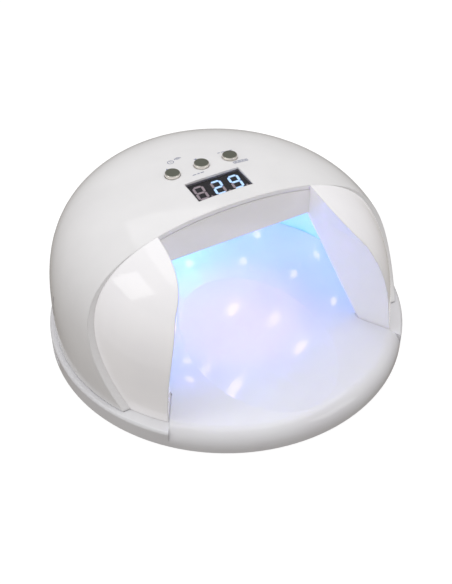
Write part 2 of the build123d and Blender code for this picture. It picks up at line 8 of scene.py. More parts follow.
import bpy
import numpy as np
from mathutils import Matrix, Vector

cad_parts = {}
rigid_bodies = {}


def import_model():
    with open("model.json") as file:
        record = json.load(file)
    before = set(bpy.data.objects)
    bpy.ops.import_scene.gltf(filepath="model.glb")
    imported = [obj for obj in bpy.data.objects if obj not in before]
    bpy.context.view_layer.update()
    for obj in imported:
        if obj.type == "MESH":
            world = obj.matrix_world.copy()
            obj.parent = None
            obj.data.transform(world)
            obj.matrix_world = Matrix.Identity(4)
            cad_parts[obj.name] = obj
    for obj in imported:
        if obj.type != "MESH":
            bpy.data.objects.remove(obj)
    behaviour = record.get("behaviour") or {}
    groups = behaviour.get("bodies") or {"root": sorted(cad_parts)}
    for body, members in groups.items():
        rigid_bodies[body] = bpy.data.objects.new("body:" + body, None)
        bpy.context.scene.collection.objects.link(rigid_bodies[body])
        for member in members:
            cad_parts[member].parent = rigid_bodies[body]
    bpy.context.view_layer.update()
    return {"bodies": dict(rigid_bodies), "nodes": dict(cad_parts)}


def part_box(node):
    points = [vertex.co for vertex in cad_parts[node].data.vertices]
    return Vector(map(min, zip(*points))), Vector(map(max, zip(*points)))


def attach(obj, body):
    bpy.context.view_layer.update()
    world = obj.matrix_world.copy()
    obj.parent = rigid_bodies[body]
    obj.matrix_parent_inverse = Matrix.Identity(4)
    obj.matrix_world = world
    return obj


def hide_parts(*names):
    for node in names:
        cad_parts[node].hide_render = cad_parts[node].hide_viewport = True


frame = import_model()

MM = 0.001
LOG = logging.getLogger("curing_lamp")
ABS_IOR = 1.53
ACRYLIC_IOR = 1.49
PATCH_EDGES = (0.32, 0.68)  # noise past which a patch is all one colour
GLOSS_PATCH = 0.6           # size of the gloss patches, as a share of the colour patches
GLOSS_OCTAVES = 4.0
LEAST_ROUGHNESS = 0.02
GRAIN_OCTAVES = 3.0
GRAIN_STRENGTH = 0.5
BEVEL_SAMPLES = 6
FULL_TURN = 2.0 * math.pi

Rgba = tuple[float, float, float, float]
Point = tuple[float, float, float]
Surface = tuple[np.ndarray, np.ndarray]     # vertices, and quads as rows of four vertex numbers


class Body(Enum):
    """Moving bodies of the lamp."""
    BASE = "base"
    HOUSING = "housing"


class Lit(Enum):
    """State of one bar of the timer."""
    ON = "segments_lit"
    OFF = "segments_unlit"


# ------------------------------------------------------------------ helpers for finishes
def linear(hex_colour: str) -> Rgba:
    """Turn an sRGB hex colour to linear light.

    Args:
        hex_colour: six hex digits after a hash.

    Returns:
        Red, green, blue and an alpha of one.
    """
    values = [int(hex_colour[i:i + 2], 16) / 255.0 for i in (1, 3, 5)]
    light = [v / 12.92 if v <= 0.04045 else ((v + 0.055) / 1.055) ** 2.4 for v in values]
    return (light[0], light[1], light[2], 1.0)


def add_node(tree: bpy.types.NodeTree, kind: str, settings: dict | None = None,
             links: dict | None = None) -> bpy.types.Node:
    """Add one shader node.

    Args:
        tree: the material's node tree.
        kind: the node's type name.
        settings: attribute names or input names and their values.
        links: input names and the output sockets that feed them.

    Returns:
        The new node.
    """
    made = tree.nodes.new(kind)
    for key, value in (settings or {}).items():
        if key in made.inputs:
            made.inputs[key].default_value = value
        else:
            setattr(made, key, value)
    for key, socket in (links or {}).items():
        tree.links.new(socket, made.inputs[key])
    return made


def start_material(
        name: str) -> tuple[bpy.types.Material, bpy.types.NodeTree, bpy.types.NodeSocket]:
    """Start an empty node material.

    Args:
        name: the material's name.

    Returns:
        The material, its tree and the Object coordinate socket.
    """
    material = bpy.data.materials.new(name)
    material.use_nodes = True
    tree = material.node_tree
    tree.nodes.clear()
    return material, tree, add_node(tree, "ShaderNodeTexCoord").outputs["Object"]


def end_material(tree: bpy.types.NodeTree, shader: bpy.types.NodeSocket) -> None:
    """Join a shader to the material output.

    Args:
        tree: the material's node tree.
        shader: the socket to show.
    """
    add_node(tree, "ShaderNodeOutputMaterial", links={"Surface": shader})


def mottle(tree: bpy.types.NodeTree, place: bpy.types.NodeSocket, size_mm: float,
           low: Rgba, high: Rgba, detail: float = 2.0) -> bpy.types.NodeSocket:
    """Blend two colours or two greys with soft noise.

    Args:
        tree: the material's node tree.
        place: coordinate socket in metres.
        size_mm: size of one patch.
        low: colour where the noise is low.
        high: colour where the noise is high.
        detail: octaves of the noise.

    Returns:
        The blended colour socket.
    """
    noise = add_node(tree, "ShaderNodeTexNoise",
                     {"Scale": 1.0 / (size_mm * MM), "Detail": detail}, {"Vector": place})
    ramp = add_node(tree, "ShaderNodeValToRGB", links={"Fac": noise.outputs["Fac"]})
    for element, position, colour in zip(ramp.color_ramp.elements, PATCH_EDGES, (low, high)):
        element.position = position
        element.color = colour
    return ramp.outputs["Color"]


def grey(value: float) -> Rgba:
    """Opaque grey of one linear value."""
    return (value, value, value, 1.0)


@dataclass(frozen=True)
class Finish:
    """One material: what it is made of and how its surface was made."""
    name: str
    colour: str
    fleck: str
    roughness: float
    spread: float = 0.03        # roughness variation either way
    metallic: float = 0.0
    ior: float = 1.5
    patch_mm: float = 9.0       # size of the colour and gloss patches
    grain_mm: float = 0.6       # size of the surface's fine relief
    relief_mm: float = 0.004    # depth of the fine relief
    edge_mm: float = 0.0        # rounding that moulding leaves on the edges
    coat: float = 0.0
    extra: dict = field(default_factory=dict)

    def normal(self, tree: bpy.types.NodeTree,
               place: bpy.types.NodeSocket) -> bpy.types.NodeSocket:
        """Fine relief over rounded edges.

        Args:
            tree: the material's node tree.
            place: coordinate socket in metres.

        Returns:
            The normal socket.
        """
        grain = add_node(tree, "ShaderNodeTexNoise",
                         {"Scale": 1.0 / (self.grain_mm * MM), "Detail": GRAIN_OCTAVES},
                         {"Vector": place})
        bump = add_node(tree, "ShaderNodeBump",
                        {"Strength": GRAIN_STRENGTH, "Distance": self.relief_mm * MM},
                        {"Height": grain.outputs["Fac"]})
        if self.edge_mm:
            edge = add_node(tree, "ShaderNodeBevel",
                            {"Radius": self.edge_mm * MM, "samples": BEVEL_SAMPLES})
            tree.links.new(edge.outputs["Normal"], bump.inputs["Normal"])
        return bump.outputs["Normal"]

    def build(self) -> bpy.types.Material:
        """Make the material.

        Returns:
            The Blender material.
        """
        material, tree, place = start_material(self.name)
        colour = mottle(tree, place, self.patch_mm, linear(self.colour), linear(self.fleck))
        smooth = grey(max(LEAST_ROUGHNESS, self.roughness - self.spread))
        rough = grey(self.roughness + self.spread)
        gloss = mottle(tree, place, self.patch_mm * GLOSS_PATCH, smooth, rough, GLOSS_OCTAVES)
        settings = {"Metallic": self.metallic, "IOR": self.ior, "Coat Weight": self.coat}
        settings.update(self.extra)
        shader = add_node(tree, "ShaderNodeBsdfPrincipled", settings,
                          {"Base Color": colour, "Roughness": gloss,
                           "Normal": self.normal(tree, place)})
        end_material(tree, shader.outputs["BSDF"])
        return material


# Injection-moulded gloss ABS: bright white with broad soft highlights. The thin front moulding also
# has a faint even warm-white painted glow, which lightens it though it is no lamp
ABS_HOOD = Finish("white_abs_polished_mould", "#F0EFEF", "#ECEBEB", 0.10, 0.015, ior=ABS_IOR,
                  patch_mm=26.0, grain_mm=7.0, relief_mm=0.006, edge_mm=1.1)
# painted light: the front moulding gives out a faint warm-white glow of its own
ABS_FRAME_PAINTED_GLOW = Finish("white_abs_front_moulding_painted_glow", "#EDECEE", "#E9E8EB", 0.07, 0.01, ior=ABS_IOR,
                   patch_mm=24.0, grain_mm=7.0, relief_mm=0.006, edge_mm=0.9,
                   extra={"Emission Color": linear("#F6F1EC"), "Emission Strength": 0.16})
ABS_BASE = Finish("white_abs_base_moulding", "#EAEAEC", "#E6E5E8", 0.06, 0.01, ior=ABS_IOR,
                  patch_mm=30.0, grain_mm=6.0, relief_mm=0.004, edge_mm=0.7)
# Moulded rubber: dull black with a dusty bloom
RUBBER_FOOT = Finish("black_rubber_moulded", "#1B1B1C", "#2A2A2B", 0.82, 0.06,
                     grain_mm=0.4, relief_mm=0.03)
# Nickel-plated magnet: bright, slightly yellow metal
NICKEL = Finish("nickel_plated_magnet", "#C9C5BA", "#BDB8AC", 0.22, 0.05,
                metallic=1.0, patch_mm=3.0)
# Zinc-plated pressed steel: bluish grey with cloudy patches
ZINC = Finish("zinc_plated_steel", "#A9ACB2", "#92959C", 0.36, 0.08, metallic=1.0, patch_mm=2.0)
# Aluminium lamp boards under white solder resist: pale, half matt
METAL_CORE = Finish("white_resist_on_aluminium", "#E4E6E8", "#D6D8DA", 0.42, 0.05,
                    patch_mm=3.0)
# Acrylic that passes infrared: deep purple black, mirror smooth
IR_ACRYLIC = Finish("infrared_acrylic_moulded", "#17101C", "#1E1526", 0.06, 0.01,
                    ior=ACRYLIC_IOR, patch_mm=4.0)
# Glass-epoxy board under green solder resist: deep green with a thin gloss
FR4 = Finish("green_resist_on_glass_epoxy", "#0F5A36", "#167247", 0.34, 0.06,
             patch_mm=1.6, coat=0.3)
# Epoxy-cased parts: matt black
EPOXY = Finish("black_epoxy_cased_part", "#17181A", "#222326", 0.55, 0.08,
               grain_mm=0.3, relief_mm=0.01)
# Moulded case of the timer: black with a soft gloss
DISPLAY_CASE = Finish("black_display_case", "#1C1B20", "#232227", 0.30, 0.04, patch_mm=5.0)
# Moulded nylon of the inlet's body: black, half matt
NYLON = Finish("black_nylon_moulded", "#141415", "#1F1F20", 0.46, 0.06,
               grain_mm=0.5, relief_mm=0.01)
# Plated brass contact and nut: bright, yellowish metal
BRASS = Finish("nickel_plated_brass", "#C8B98C", "#B7A676", 0.26, 0.05,
               metallic=1.0, patch_mm=2.0)
# PVC insulation of the lead: dull red
PVC = Finish("red_pvc_insulation", "#8E1B1B", "#A32424", 0.42, 0.05, patch_mm=4.0)
# Pad-printed ink: flat slate blue
INK = Finish("slate_blue_pad_print", "#7B82A0", "#6E7594", 0.48, 0.05,
             grain_mm=0.2, relief_mm=0.003)


@dataclass(frozen=True)
class Glow:
    """Surface that gives out light of one colour."""
    name: str
    body: str
    light: str
    strength: float
    patch_mm: float = 1.2
    roughness: float = 0.2

    def build(self) -> bpy.types.Material:
        """Make the material.

        Returns:
            The Blender material.
        """
        material, tree, place = start_material(self.name)
        colour = mottle(tree, place, self.patch_mm, linear(self.body), linear(self.light))
        shader = add_node(tree, "ShaderNodeBsdfPrincipled",
                          {"Roughness": self.roughness, "Emission Color": linear(self.light),
                           "Emission Strength": self.strength}, {"Base Color": colour})
        end_material(tree, shader.outputs["BSDF"])
        return material


# Lit timer bars: blue-white
LIT_BAR = Glow("lit_epoxy_bar", "#DFF2FF", "#B9E2FF", 2.6)
# Unlit bars: milky epoxy with a faint painted glow, which lightens bars that are no lamp
MILKY_PAINTED_GLOW = Glow("milky_epoxy_bar_painted_glow", "#CFC5BF", "#C9BDB6", 0.85)
# Silicone lens over a violet and blue die
LENS = Glow("lit_silicone_lens", "#F3F6FF", "#B39CFF", 11.0)


@dataclass(frozen=True)
class ReflectorFinish:
    """Gloss white ABS chamber with a painted glow on its inner side: cyan walls, violet ceiling."""
    name: str = "white_abs_chamber_painted_glow"
    # colours of the painted glow: cyan on the walls, violet on the ceiling
    wall: str = "#38D4FF"
    ceiling: str = "#A592FF"
    strength: float = 0.36
    change_z: tuple[float, float] = (0.046, 0.070)  # heights of the change of hue, metres
    inner_dot: float = -0.010   # place dot normal where the glow is full; outer faces are above 0
    colour: str = "#F1F4F8"
    fleck: str = "#E9EEF4"
    patch_mm: float = 18.0
    roughness: float = 0.12

    def build(self) -> bpy.types.Material:
        """Make the material; the painted glow's hue changes with height above the table.

        Returns:
            The Blender material.
        """
        material, tree, place = start_material(self.name)
        split = add_node(tree, "ShaderNodeSeparateXYZ", links={"Vector": place})
        climb = add_node(tree, "ShaderNodeMapRange",
                         {"From Min": self.change_z[0], "From Max": self.change_z[1]},
                         {"Value": split.outputs["Z"]})
        ramp = add_node(tree, "ShaderNodeValToRGB", links={"Fac": climb.outputs["Result"]})
        ramp.color_ramp.elements[0].color = linear(self.wall)
        ramp.color_ramp.elements[1].color = linear(self.ceiling)
        colour = mottle(tree, place, self.patch_mm, linear(self.colour), linear(self.fleck))
        facing = add_node(tree, "ShaderNodeVectorMath", {"operation": "DOT_PRODUCT"})
        tree.links.new(place, facing.inputs[0])
        tree.links.new(add_node(tree, "ShaderNodeTexCoord").outputs["Normal"], facing.inputs[1])
        inner = add_node(tree, "ShaderNodeMapRange",
                         {"From Min": 0.0, "From Max": self.inner_dot, "To Max": self.strength},
                         {"Value": facing.outputs["Value"]})
        shader = add_node(tree, "ShaderNodeBsdfPrincipled",
                          {"Roughness": self.roughness, "IOR": ABS_IOR},
                          {"Base Color": colour, "Emission Color": ramp.outputs["Color"],
                           "Emission Strength": inner.outputs["Result"]})
        end_material(tree, shader.outputs["BSDF"])
        return material


@dataclass(frozen=True)
class KeyFinish:
    """Turned and nickel-plated key: dark satin face inside a bright polished rim."""
    name: str
    face_z: float
    face: str = "#6F7166"
    rim: str = "#EDE8E0"
    face_roughness: float = 0.42
    rim_roughness: float = 0.12
    change_mm: tuple[float, float] = (0.12, 0.02)   # depths under the face where rim and face begin
    grain_mm: float = 0.35
    relief_mm: float = 0.02
    relief_share: float = 0.35

    def build(self) -> bpy.types.Material:
        """Make the material; the face is told from the rim by its height.

        Returns:
            The Blender material.
        """
        material, tree, place = start_material(self.name)
        split = add_node(tree, "ShaderNodeSeparateXYZ", links={"Vector": place})
        height = add_node(tree, "ShaderNodeMapRange",
                          {"From Min": self.face_z - self.change_mm[0] * MM,
                           "From Max": self.face_z - self.change_mm[1] * MM},
                          {"Value": split.outputs["Z"]})
        ramp = add_node(tree, "ShaderNodeValToRGB", links={"Fac": height.outputs["Result"]})
        ramp.color_ramp.elements[0].color = linear(self.rim)
        ramp.color_ramp.elements[1].color = linear(self.face)
        rough = add_node(tree, "ShaderNodeValToRGB", links={"Fac": height.outputs["Result"]})
        rough.color_ramp.elements[0].color = grey(self.rim_roughness)
        rough.color_ramp.elements[1].color = grey(self.face_roughness)
        grain = add_node(tree, "ShaderNodeTexNoise",
                         {"Scale": 1.0 / (self.grain_mm * MM), "Detail": GRAIN_OCTAVES},
                         {"Vector": place})
        bump = add_node(tree, "ShaderNodeBump",
                        {"Strength": self.relief_share, "Distance": self.relief_mm * MM},
                        {"Height": grain.outputs["Fac"]})
        shader = add_node(tree, "ShaderNodeBsdfPrincipled", {"Metallic": 1.0},
                          {"Base Color": ramp.outputs["Color"], "Roughness": rough.outputs["Color"],
                           "Normal": bump.outputs["Normal"]})
        end_material(tree, shader.outputs["BSDF"])
        return material


@dataclass(frozen=True)
class WindowFinish:
    """Cast acrylic window with a light smoke tint: clear, with sharp reflections."""
    name: str = "smoked_acrylic_cast"
    tint: str = "#D5D3DA"
    fleck: str = "#CFCDD5"
    patch_mm: float = 12.0
    roughness: float = 0.03

    def build(self) -> bpy.types.Material:
        """Make the material: a clear body, with Fresnel gloss on its outer side only.

        Returns:
            The Blender material.
        """
        material, tree, place = start_material(self.name)
        tint = mottle(tree, place, self.patch_mm, linear(self.tint), linear(self.fleck))
        clear = add_node(tree, "ShaderNodeBsdfTransparent", links={"Color": tint})
        gloss = add_node(tree, "ShaderNodeBsdfGlossy", {"Roughness": self.roughness})
        share = add_node(tree, "ShaderNodeFresnel", {"IOR": ACRYLIC_IOR})
        both = add_node(tree, "ShaderNodeMixShader", links={"Fac": share.outputs["Fac"]})
        tree.links.new(clear.outputs["BSDF"], both.inputs[1])
        tree.links.new(gloss.outputs["BSDF"], both.inputs[2])
        side = add_node(tree, "ShaderNodeNewGeometry")
        sheet = add_node(tree, "ShaderNodeMixShader", links={"Fac": side.outputs["Backfacing"]})
        tree.links.new(both.outputs["Shader"], sheet.inputs[1])
        tree.links.new(clear.outputs["BSDF"], sheet.inputs[2])
        end_material(tree, sheet.outputs["Shader"])
        return material


# ------------------------------------------------------------------ helpers for meshes
def grid_faces(rows: int, columns: int, wrap: bool = False) -> np.ndarray:
    """Quads of a grid of rows by columns of vertices.

    Args:
        rows: vertices along the first parameter.
        columns: vertices along the second.
        wrap: whether the second parameter closes on itself.

    Returns:
        One row of four vertex numbers for each quad.
    """
    last = columns if wrap else columns - 1
    i, j = np.meshgrid(np.arange(rows - 1), np.arange(last), indexing="ij")
    k = (j + 1) % columns
    quads = np.stack([i * columns + j, i * columns + k,
                      (i + 1) * columns + k, (i + 1) * columns + j], -1)
    return quads.reshape(-1, 4)


def join_surfaces(parts: list[Surface]) -> Surface:
    """Join surfaces in mm into one in metres: each one's quads count on from the last one's points.

    Args:
        parts: vertices in mm and quads of each.

    Returns:
        Vertices in metres and quads.
    """
    starts = np.cumsum([0] + [len(vertices) for vertices, _ in parts[:-1]])
    quads = np.concatenate([quads + start for (_, quads), start in zip(parts, starts)])
    return np.concatenate([vertices for vertices, _ in parts]) * MM, quads


def put(name: str, data: bpy.types.ID) -> bpy.types.Object:
    """Put data into the scene as an object.

    Args:
        name: the object's name.
        data: its mesh, light or camera.

    Returns:
        The new object.
    """
    made = bpy.data.objects.new(name, data)
    bpy.context.scene.collection.objects.link(made)
    return made


def put_surface(name: str, surface: Surface, material: bpy.types.Material,
                smooth: bool = True) -> bpy.types.Object:
    """Put a numpy surface into the scene.

    Args:
        name: the object's name.
        surface: vertices in metres and quads.
        material: its finish.
        smooth: whether its faces are shaded as one curve.

    Returns:
        The new object.
    """
    vertices, quads = surface
    mesh = bpy.data.meshes.new(name)
    mesh.from_pydata(vertices.reshape(-1, 3).tolist(), [], quads.tolist())
    mesh.polygons.foreach_set("use_smooth", np.full(len(mesh.polygons), smooth))
    mesh.materials.append(material)
    mesh.update()
    return put(name, mesh)


def make_piece(name: str, surface: Surface, material: bpy.types.Material, body: Body,
               smooth: bool = True) -> bpy.types.Object:
    """Make a piece of the lamp from a numpy surface.

    Args:
        name: the piece's name.
        surface: vertices in metres and quads.
        material: its finish.
        body: the moving body it rides on.
        smooth: whether its faces are shaded as one curve.

    Returns:
        The new object.
    """
    piece = put_surface(name, surface, material, smooth)
    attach(piece, body.value)
    LOG.info("%s: %d faces on %s", name, len(surface[1]), body.value)
    return piece


def dress(node: str, material: bpy.types.Material) -> None:
    """Give a CAD node a finish.

    Args:
        node: the node's name.
        material: the finish for all of its faces.
    """
    mesh = frame["nodes"][node].data
    mesh.materials.clear()
    mesh.materials.append(material)
    LOG.info("%s: dressed in %s", node, material.name)


def prism(outline: np.ndarray, low: float, thick: float) -> Surface:
    """Closed flat slab: an outline at two heights, each cap a row of quads across it.

    Args:
        outline: plan points, an even count, in order.
        low: height of the underside.
        thick: height of the slab.

    Returns:
        Vertices and quads.
    """
    count = len(outline)
    flat = np.full(count, low)
    rings = np.stack([np.column_stack([outline, flat]), np.column_stack([outline, flat + thick])])
    sides = grid_faces(2, count, wrap=True)
    half = count // 2
    i = np.arange(half - 1)
    cap = np.stack([i, i + 1, count - 2 - i, count - 1 - i], -1)
    return rings.reshape(-1, 3), np.concatenate([sides, cap[:, ::-1], cap + count])


@dataclass(frozen=True)
class HoodSurface:
    """Outer surface of the hood: circles that shrink as a superellipse while they lean back."""
    radius: float = 100.8
    height: float = 94.42
    plan: float = 2.128     # power of the radius, p
    rise: float = 4.331     # power of the height, q
    lean: float = 17.5      # how far back the top's centre is, mm
    rounds: int = 8         # passes that settle the height, as the lean depends on it

    def height_at(self, x: np.ndarray, y: np.ndarray) -> np.ndarray:
        """Height over plan points: z = H (1 - (distance from the leaning centre / R)^p)^(1/q).

        The centre leans back by the lean times (z / H) squared.

        Args:
            x: places to the right, mm.
            y: places to the back, mm.

        Returns:
            Heights in mm.
        """
        z = np.full(np.shape(x), self.height)
        for _ in range(self.rounds):
            off = np.hypot(x, y - self.lean * (z / self.height) ** 2) / self.radius
            z = self.height * (1.0 - np.minimum(off, 1.0) ** self.plan) ** (1.0 / self.rise)
        return z


# ------------------------------------------------------------------ sub-assemblies
@dataclass
class TimerDisplay:
    """Three leaning seven-bar digits behind the window."""
    pitch: float = 10.9
    tall: float = 12.4
    wide: float = 6.6
    lean: float = 0.12
    stroke: float = 1.35
    gap: float = 0.22
    thick: float = 0.14
    shift: float = -0.9         # places each digit to the left, which leaves room for its point
    point_radius: float = 0.62
    point_reach: float = 1.6    # from the digit's corner to the point, in strokes
    point_sides: int = 16
    shown: tuple[str, ...] = ("", "abdeg", "abcdfg")

    def bar(self, start: np.ndarray, end: np.ndarray, z: float) -> Surface:
        """One bar with pointed ends: a hexagon along the line from start to end.

        Args:
            start: first corner of the digit that it joins, mm.
            end: second corner, mm.
            z: height of its underside, mm.

        Returns:
            Vertices in mm and quads.
        """
        along = (end - start) / np.linalg.norm(end - start)
        across = np.array([-along[1], along[0]]) * self.stroke / 2.0
        tip = along * self.gap
        shoulder = along * (self.gap + self.stroke / 2.0)
        outline = np.array([start + tip, start + shoulder - across, end - shoulder - across,
                            end - tip, end - shoulder + across, start + shoulder + across])
        return prism(outline, z, self.thick)

    def digit(self, middle: np.ndarray, lit: str, z: float) -> dict[Lit, list[Surface]]:
        """Bars and point of one digit, sorted by state.

        Args:
            middle: the digit's centre, mm.
            lit: letters of the bars that are on.
            z: height of the bars' underside, mm.

        Returns:
            Lists of vertices and quads for each state.
        """
        half = np.array([self.wide - self.stroke, self.tall - self.stroke]) / 2.0
        corners = {(i, j): middle + np.array([i * half[0] + j * half[1] * self.lean, j * half[1]])
                   for i in (-1, 1) for j in (-1, 0, 1)}
        lines = {"a": ((-1, 1), (1, 1)), "g": ((-1, 0), (1, 0)), "d": ((-1, -1), (1, -1)),
                 "f": ((-1, 0), (-1, 1)), "b": ((1, 0), (1, 1)), "e": ((-1, -1), (-1, 0)),
                 "c": ((1, -1), (1, 0))}
        made: dict[Lit, list[Surface]] = {Lit.ON: [], Lit.OFF: []}
        for letter, (first, last) in lines.items():
            state = Lit.ON if letter in lit else Lit.OFF
            made[state].append(self.bar(corners[first], corners[last], z))
        turn = np.linspace(0.0, FULL_TURN, self.point_sides + 1)[:-1]
        right = half[0] + self.point_reach * self.stroke - half[1] * self.lean
        point = middle + np.array([right, -half[1]])
        outline = point + self.point_radius * np.column_stack([np.cos(turn), np.sin(turn)])
        made[Lit.OFF].append(prism(outline, z, self.thick))
        return made

    def build(self) -> None:
        """Make the lit and unlit bars and dress the case and the window."""
        low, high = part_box("display_segments")
        middle = np.array([(low.x + high.x) / 2.0, (low.y + high.y) / 2.0]) / MM
        sets: dict[Lit, list[Surface]] = {Lit.ON: [], Lit.OFF: []}
        for place, lit in zip((-1, 0, 1), self.shown):
            centre = middle + np.array([place * self.pitch + self.shift, 0.0])
            for state, bars in self.digit(centre, lit, low.z / MM).items():
                sets[state] += bars
        # the unlit bars get a painted glow that lightens them
        finishes = {Lit.ON: LIT_BAR.build(), Lit.OFF: MILKY_PAINTED_GLOW.build()}
        for state, bars in sets.items():
            piece = make_piece(state.value, join_surfaces(bars), finishes[state], Body.HOUSING,
                               smooth=False)
            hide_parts("display_segments")
        dress("display_case", DISPLAY_CASE.build())
        dress("display_window", WindowFinish().build())


@dataclass
class PrintedMarks:
    """Small generic signs round the keys: up, down, a clock, arcs, and plain strokes.

    Each place is to the right of a key's middle and to the back of it, mm.
    """
    surface: HoodSurface = field(default_factory=HoodSurface)
    stroke: float = 0.34
    lift: float = 0.02
    thick: float = 0.03
    wedge_size: float = 1.9
    wedge_slope: float = 0.8        # depth of a wedge as a share of its side
    wedge_tip: float = 0.02
    wedge_back: float = 6.9
    caption_stroke: float = 1.6     # width of a caption's strokes, in sign strokes
    caption_gap: float = 0.7
    left_caption: tuple[float, float] = (-9.0, -6.6)
    right_caption: tuple[float, float] = (-4.2, 6.8)
    frame_place: tuple[float, float] = (3.4, -6.4)
    frame_half: tuple[float, float] = (4.4, 0.9)
    frame_margin: float = 0.8
    clock_place: tuple[float, float] = (5.0, 12.4)
    clock_radius: float = 1.7
    clock_hands: tuple[float, float] = (0.8, 1.2)
    arcs_right: float = 5.0         # from the clock to the arcs
    arcs_radius: float = 0.7
    arcs_step: float = 0.8
    arcs_turn: tuple[float, float] = (25.0, 155.0)
    curve_points: int = 25
    line_points: int = 4
    side_points: int = 6

    def ink(self, edges: np.ndarray) -> np.ndarray:
        """Lay plan points on the hood.

        Args:
            edges: plan points, mm, on the last axis.

        Returns:
            One row for each point, mm.
        """
        z = self.surface.height_at(edges[..., 0], edges[..., 1]) + self.lift + self.thick
        return np.concatenate([edges, z[..., None]], -1).reshape(-1, 3)

    def line(self, points: np.ndarray, stroke: float) -> Surface:
        """Ribbon of ink along a path: two edges offset half a stroke to each side, on the hood.

        Args:
            points: plan points of the middle line, mm.
            stroke: width, mm.

        Returns:
            Vertices in mm and quads.
        """
        along = np.gradient(points, axis=0)
        along /= np.linalg.norm(along, axis=1, keepdims=True)
        across = np.column_stack([-along[:, 1], along[:, 0]]) * stroke / 2.0
        edges = np.stack([points + across, points - across], 1)
        return self.ink(edges), grid_faces(len(points), 2)[:, ::-1]

    def wedge(self, x: float, y: float, up: int) -> Surface:
        """Filled triangle: a ribbon whose width falls to a point.

        Args:
            x: place to the right, mm.
            y: place to the back, mm.
            up: one points to the back, minus one to the front.

        Returns:
            Vertices in mm and quads.
        """
        run = np.linspace(0.0, 1.0, self.line_points)
        width = self.wedge_size * (1.0 - run) + self.wedge_tip
        back = y + up * self.wedge_size * self.wedge_slope * (run - 0.5)
        middle = np.column_stack([np.full(self.line_points, x), back])
        across = np.column_stack([width / 2.0, np.zeros(self.line_points)])
        quads = grid_faces(self.line_points, 2)
        edges = np.stack([middle - across, middle + across], 1)
        return self.ink(edges), quads[:, ::-1] if up < 0 else quads

    def arc(self, x: float, y: float, radius: float, first: float, last: float) -> np.ndarray:
        """Plan points of an arc between two angles in degrees, mm."""
        turn = np.radians(np.linspace(first, last, self.curve_points))
        return np.column_stack([x + radius * np.cos(turn), y + radius * np.sin(turn)])

    def dashes(self, x: float, y: float, widths: tuple[float, ...]) -> list[Surface]:
        """Row of short strokes in place of a caption, each of its own length.

        Args:
            x: left end, mm.
            y: place to the back, mm.
            widths: length of each stroke, mm.

        Returns:
            Vertices and quads of each stroke.
        """
        made = []
        for width in widths:
            path = np.linspace([x, y], [x + width, y], self.line_points)
            made.append(self.line(path, self.stroke * self.caption_stroke))
            x += width + self.caption_gap
        return made

    def frame(self, x: float, y: float) -> list[Surface]:
        """Four sides of an upright oblong about a place.

        Args:
            x: its middle to the right, mm.
            y: its middle to the back, mm.

        Returns:
            Vertices and quads of each side.
        """
        turns = ((-1, -1), (1, -1), (1, 1), (-1, 1), (-1, -1))
        corners = np.array(turns) * np.array(self.frame_half) + np.array([x, y])
        return [self.line(np.linspace(first, last, self.side_points), self.stroke)
                for first, last in zip(corners[:-1], corners[1:])]

    def clock(self, x: float, y: float) -> list[Surface]:
        """Round clock with two hands, and arcs beside it.

        Args:
            x: its middle to the right, mm.
            y: its middle to the back, mm.

        Returns:
            Vertices and quads of each stroke.
        """
        right, up = self.clock_hands
        paths = [self.arc(x, y, self.clock_radius, 0.0, 360.0),
                 np.linspace([x, y], [x, y + up], self.line_points),
                 np.linspace([x, y], [x + right, y], self.line_points)]
        for ring in range(3):
            radius = self.arcs_radius + self.arcs_step * ring
            paths.append(self.arc(x + self.arcs_right, y, radius, *self.arcs_turn))
        return [self.line(path, self.stroke) for path in paths]

    def build(self) -> None:
        """Place the signs behind and in front of the keys."""
        boxes = [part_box(f"button_{side}") for side in ("left", "centre", "right")]
        left, centre, right = (np.array([(low.x + high.x) / 2.0, (low.y + high.y) / 2.0]) / MM
                               for low, high in boxes)
        marks = [self.wedge(left[0], left[1] + self.wedge_back, 1),
                 self.wedge(centre[0], centre[1] + self.wedge_back, -1)]
        marks += self.dashes(*(centre + self.left_caption), (2.2, 1.4, 2.0))
        marks += self.dashes(*(right + self.right_caption), (1.6, 2.4, 1.5, 1.8))
        x, y = right + self.frame_place
        marks += self.frame(x, y)
        marks += self.dashes(x - self.frame_half[0] + self.frame_margin, y, (1.2, 1.8, 1.0, 1.4))
        marks += self.clock(*(left + self.clock_place))
        make_piece("printed_signs", join_surfaces(marks), INK.build(), Body.HOUSING)


@dataclass
class KeyRow:
    """The three metal keys with their switches."""
    sides: tuple[str, ...] = ("left", "centre", "right")

    def build(self) -> None:
        """Dress each key, its plunger and the switches."""
        plastic = EPOXY.build()
        for side in self.sides:
            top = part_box(f"button_{side}")[1].z
            dress(f"button_{side}", KeyFinish(f"turned_nickel_key_{side}", top).build())
            dress(f"plunger_{side}", plastic)
        dress("tact_switches", plastic)


@dataclass(frozen=True)
class LampCircle:
    """Lamps spread evenly along a level circle; a ceiling one has a radius, a wall one a height."""
    count: int
    first: float                    # angle of the first lamp, degrees from the right
    last: float
    radius: float | None = None
    z: float | None = None


